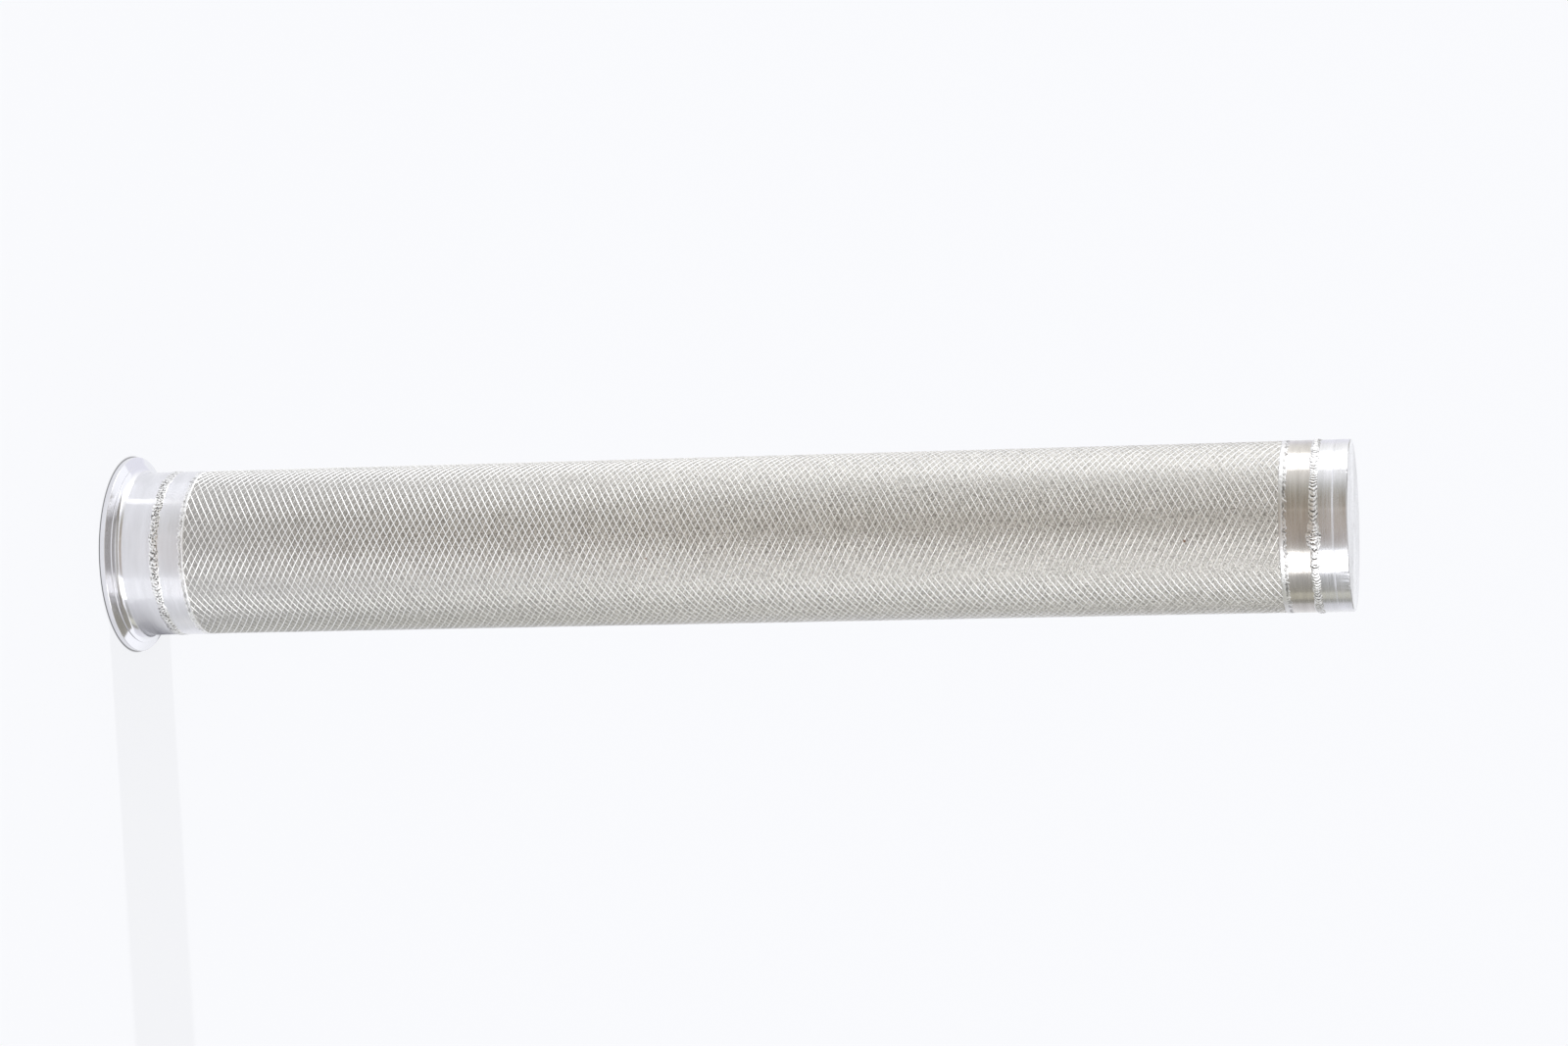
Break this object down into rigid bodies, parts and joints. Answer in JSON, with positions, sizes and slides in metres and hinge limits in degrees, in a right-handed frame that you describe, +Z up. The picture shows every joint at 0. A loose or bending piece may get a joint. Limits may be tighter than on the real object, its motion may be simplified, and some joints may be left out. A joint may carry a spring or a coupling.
{
  "type": "metal filter tube",
  "caption": "Welded stainless filter tube with an expanded metal guard over fibre felt, a closed end cap and a clamp ferrule at its open end.",
  "frame": {"origin": "centre of the ferrule's flat sealing face, which the tube stands on", "axes": "+Z up the tube's axis, from the open clamp end to the closed cap; -Y faces the side with the blob on the cap's weld, and +Y the side with the seams"},
  "size_m": [0.091, 0.091, 0.5686],
  "materials": {
    "turned_steel": "turned and polished stainless, with fine lines round the tube",
    "rolled_steel": "rolled stainless tube, satin",
    "weld_steel": "rippled weld bead, brushed clean",
    "expanded_steel": "expanded stainless sheet, bright",
    "steel_felt": "sintered stainless fibre felt, matt and grainy",
    "punched_steel": "punched stainless sheet"
  },
  "bodies": {
    "root": {"clamp_ferrule": "turned_steel", "lower_ring": "rolled_steel", "expanded_guard": "expanded_steel", "fibre_felt": "steel_felt", "sleeve_seam_weld": "weld_steel", "support_core": "punched_steel", "core_seam_weld": "weld_steel", "upper_ring": "rolled_steel", "end_cap": "turned_steel", "butt_welds": "weld_steel", "edge_welds": "weld_steel"}
  },
  "joints": []
}
